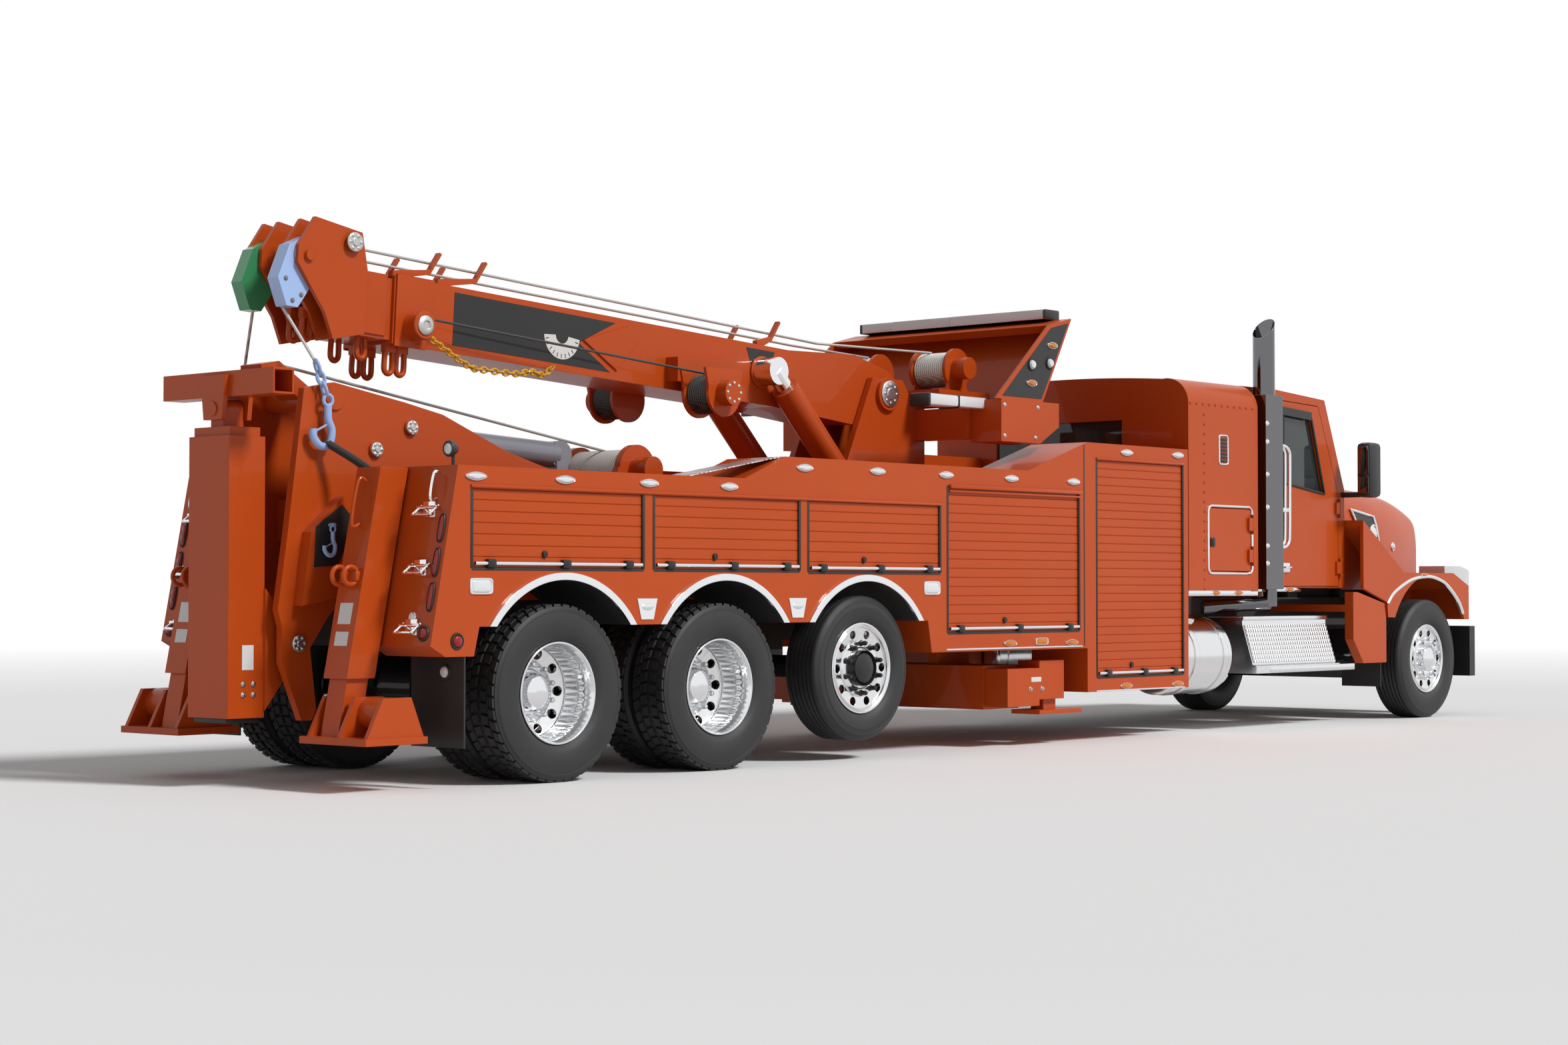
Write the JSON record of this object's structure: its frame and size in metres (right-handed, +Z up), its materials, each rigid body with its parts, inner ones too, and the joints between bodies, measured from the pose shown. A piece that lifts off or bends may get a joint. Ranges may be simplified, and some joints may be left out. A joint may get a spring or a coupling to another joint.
{
  "type": "heavy tow truck",
  "caption": "heavy recovery tow truck with sleeper cab, slewing telescopic boom, winches, folded underlift and outriggers",
  "frame": {"origin": "on the ground, at the middle of the length and width", "axes": "+X forward, +Y left, +Z up"},
  "size_m": [13.025, 2.72, 3.2952],
  "materials": {
    "aluminium": "polished",
    "black_paint": "satin",
    "black_plastic": "grained",
    "black_rubber": "matte",
    "blue_paint": "satin",
    "cast_iron": "cast",
    "chrome": "mirror polish",
    "glass": "clear, tinted",
    "grey_paint": "satin",
    "lamp_plastic": "clear",
    "orange_paint": "gloss",
    "steel": "polished",
    "trim_plastic": "grained",
    "tyre": "matte"
  },
  "bodies": {
    "chassis": {"arch_trims": "chrome", "axles": "black_paint", "bumper": "black_plastic", "cab": "orange_paint", "cab_glass": "glass", "cab_interior": "trim_plastic", "cab_steps": "aluminium", "deck": "orange_paint", "deck_winch": "black_paint", "engine": "cast_iron", "exhaust_stack": "chrome", "frame": "black_paint", "fuel_tanks": "aluminium", "mirrors": "black_plastic", "mud_guards": "black_rubber", "outrigger_housings": "orange_paint", "roller_doors": "orange_paint", "side_bodies": "orange_paint", "sleeper": "orange_paint", "underlift_cylinder": "grey_paint", "underlift_tower": "orange_paint"},
    "knuckle_left": {"knuckle_left": "black_paint"},
    "knuckle_right": {"knuckle_right": "black_paint"},
    "stinger": {"stinger": "orange_paint"},
    "stinger_inner": {"stinger_inner": "orange_paint"},
    "crossbar": {"crossbar": "orange_paint"},
    "turret": {"turret": "orange_paint", "light_pylon": "orange_paint", "main_winches": "black_paint"},
    "boom_outer": {"boom_outer": "orange_paint", "boom_winches": "black_paint"},
    "boom_inner": {"boom_inner": "orange_paint", "sheave_blocks": "blue_paint"},
    "lift_barrels": {"lift_barrels": "orange_paint"},
    "lift_rods": {"lift_rods": "steel"},
    "hood": {"hood": "orange_paint", "head_lamps": "lamp_plastic"},
    "wheel_steer_left": {"wheel_steer_left": "tyre"},
    "wheel_lift_left": {"wheel_lift_left": "tyre"},
    "wheel_drive_front_left": {"wheel_drive_front_left": "tyre"},
    "wheel_drive_rear_left": {"wheel_drive_rear_left": "tyre"},
    "rear_leg_left": {"rear_leg_left": "orange_paint"},
    "mid_beam_left": {"mid_beam_left": "orange_paint"},
    "mid_leg_left": {"mid_leg_left": "orange_paint"},
    "hatch_left": {"hatch_left": "orange_paint"},
    "door_left": {"door_left": "orange_paint", "door_glass_left": "glass"},
    "wheel_steer_right": {"wheel_steer_right": "tyre"},
    "wheel_lift_right": {"wheel_lift_right": "tyre"},
    "wheel_drive_front_right": {"wheel_drive_front_right": "tyre"},
    "wheel_drive_rear_right": {"wheel_drive_rear_right": "tyre"},
    "rear_leg_right": {"rear_leg_right": "orange_paint"},
    "mid_beam_right": {"mid_beam_right": "orange_paint"},
    "mid_leg_right": {"mid_leg_right": "orange_paint"},
    "hatch_right": {"hatch_right": "orange_paint"},
    "door_right": {"door_right": "orange_paint", "door_glass_right": "glass"}
  },
  "joints": [
    {"name": "steer_left", "type": "hinge", "parent": "chassis", "child": "knuckle_left", "pos_m": [5.5255, 0.9, 0.515], "axis": [0, 0, 1], "range_deg": [-35, 35]},
    {"name": "steer_right", "type": "hinge", "parent": "chassis", "child": "knuckle_right", "pos_m": [5.5255, -0.9, 0.515], "axis": [0, 0, 1], "range_deg": [-35, 35]},
    {"name": "spin_steer_left", "type": "hinge", "parent": "knuckle_left", "child": "wheel_steer_left", "pos_m": [5.5255, 1.072, 0.515], "axis": [0, 1, 0], "continuous": true},
    {"name": "spin_lift_left", "type": "hinge", "parent": "chassis", "child": "wheel_lift_left", "pos_m": [-2.2025, 1.072, 0.6], "axis": [0, 1, 0], "continuous": true},
    {"name": "spin_drive_front_left", "type": "hinge", "parent": "chassis", "child": "wheel_drive_front_left", "pos_m": [-3.5655, 1.072, 0.515], "axis": [0, 1, 0], "continuous": true},
    {"name": "spin_drive_rear_left", "type": "hinge", "parent": "chassis", "child": "wheel_drive_rear_left", "pos_m": [-4.9375, 1.072, 0.515], "axis": [0, 1, 0], "continuous": true},
    {"name": "door_left", "type": "hinge", "parent": "chassis", "child": "door_left", "pos_m": [4.2545, 1.072, 1.5], "axis": [0, 0, -1], "range_deg": [0, 65]},
    {"name": "hatch_left", "type": "hinge", "parent": "chassis", "child": "hatch_left", "pos_m": [2.6015, 1.232, 1.5], "axis": [0, 0, -1], "range_deg": [0, 90]},
    {"name": "rear_leg_left", "type": "slide", "parent": "chassis", "child": "rear_leg_left", "axis": [-0.1961, 0, -0.9806], "range_m": [0, 0.3]},
    {"name": "mid_beam_left", "type": "slide", "parent": "chassis", "child": "mid_beam_left", "axis": [0, 1, 0], "range_m": [0, 0.65]},
    {"name": "mid_leg_left", "type": "slide", "parent": "mid_beam_left", "child": "mid_leg_left", "axis": [0, 0, -1], "range_m": [0, 0.24]},
    {"name": "spin_steer_right", "type": "hinge", "parent": "knuckle_right", "child": "wheel_steer_right", "pos_m": [5.5255, -1.072, 0.515], "axis": [0, 1, 0], "continuous": true},
    {"name": "spin_lift_right", "type": "hinge", "parent": "chassis", "child": "wheel_lift_right", "pos_m": [-2.2025, -1.072, 0.6], "axis": [0, 1, 0], "continuous": true},
    {"name": "spin_drive_front_right", "type": "hinge", "parent": "chassis", "child": "wheel_drive_front_right", "pos_m": [-3.5655, -1.072, 0.515], "axis": [0, 1, 0], "continuous": true},
    {"name": "spin_drive_rear_right", "type": "hinge", "parent": "chassis", "child": "wheel_drive_rear_right", "pos_m": [-4.9375, -1.072, 0.515], "axis": [0, 1, 0], "continuous": true},
    {"name": "door_right", "type": "hinge", "parent": "chassis", "child": "door_right", "pos_m": [4.2545, -1.072, 1.5], "axis": [0, 0, 1], "range_deg": [0, 65]},
    {"name": "hatch_right", "type": "hinge", "parent": "chassis", "child": "hatch_right", "pos_m": [2.6015, -1.232, 1.5], "axis": [0, 0, 1], "range_deg": [0, 90]},
    {"name": "rear_leg_right", "type": "slide", "parent": "chassis", "child": "rear_leg_right", "axis": [-0.1961, 0, -0.9806], "range_m": [0, 0.3]},
    {"name": "mid_beam_right", "type": "slide", "parent": "chassis", "child": "mid_beam_right", "axis": [0, -1, 0], "range_m": [0, 0.65]},
    {"name": "mid_leg_right", "type": "slide", "parent": "mid_beam_right", "child": "mid_leg_right", "axis": [0, 0, -1], "range_m": [0, 0.24]},
    {"name": "hood_tilt", "type": "hinge", "parent": "chassis", "child": "hood", "pos_m": [6.3925, 0, 0.83], "axis": [0, 1, 0], "range_deg": [0, 55]},
    {"name": "slew", "type": "hinge", "parent": "chassis", "child": "turret", "pos_m": [-0.9375, 0, 1.66], "axis": [0, 0, 1], "range_deg": [-130, 130]},
    {"name": "boom_lift", "type": "hinge", "parent": "turret", "child": "boom_outer", "pos_m": [-0.8165, 0, 2.52], "axis": [0, 1, 0], "range_deg": [0, 50]},
    {"name": "boom_extend", "type": "slide", "parent": "boom_outer", "child": "boom_inner", "axis": [-0.9983, 0, 0.0576], "range_m": [0, 2.2]},
    {"name": "lift_barrel_swing", "type": "hinge", "parent": "turret", "child": "lift_barrels", "pos_m": [-1.3775, 0, 1.87], "axis": [0, 1, 0], "range_deg": [0, 38.5]},
    {"name": "lift_rod_stroke", "type": "slide", "parent": "lift_barrels", "child": "lift_rods", "axis": [-0.7071, 0, 0.7071], "range_m": [0, 0.675]},
    {"name": "stinger_fold", "type": "hinge", "parent": "chassis", "child": "stinger", "pos_m": [-6.1215, 0, 0.807], "axis": [0, -1, 0], "range_deg": [0, 88]},
    {"name": "stinger_extend", "type": "slide", "parent": "stinger", "child": "stinger_inner", "axis": [0, 0, 1], "range_m": [0, 1.1]},
    {"name": "crossbar_turn", "type": "hinge", "parent": "stinger_inner", "child": "crossbar", "pos_m": [-6.3875, 0, 2.132], "axis": [1, 0, 0], "range_deg": [-25, 25]}
  ],
  "couplings": [
    {"joint": "steer_right", "follows": "steer_left", "ratio": 1},
    {"joint": "lift_barrel_swing", "follows": "boom_lift", "ratio": 0.76},
    {"joint": "lift_rod_stroke", "follows": "boom_lift", "m_per_rad": 0.769}
  ]
}
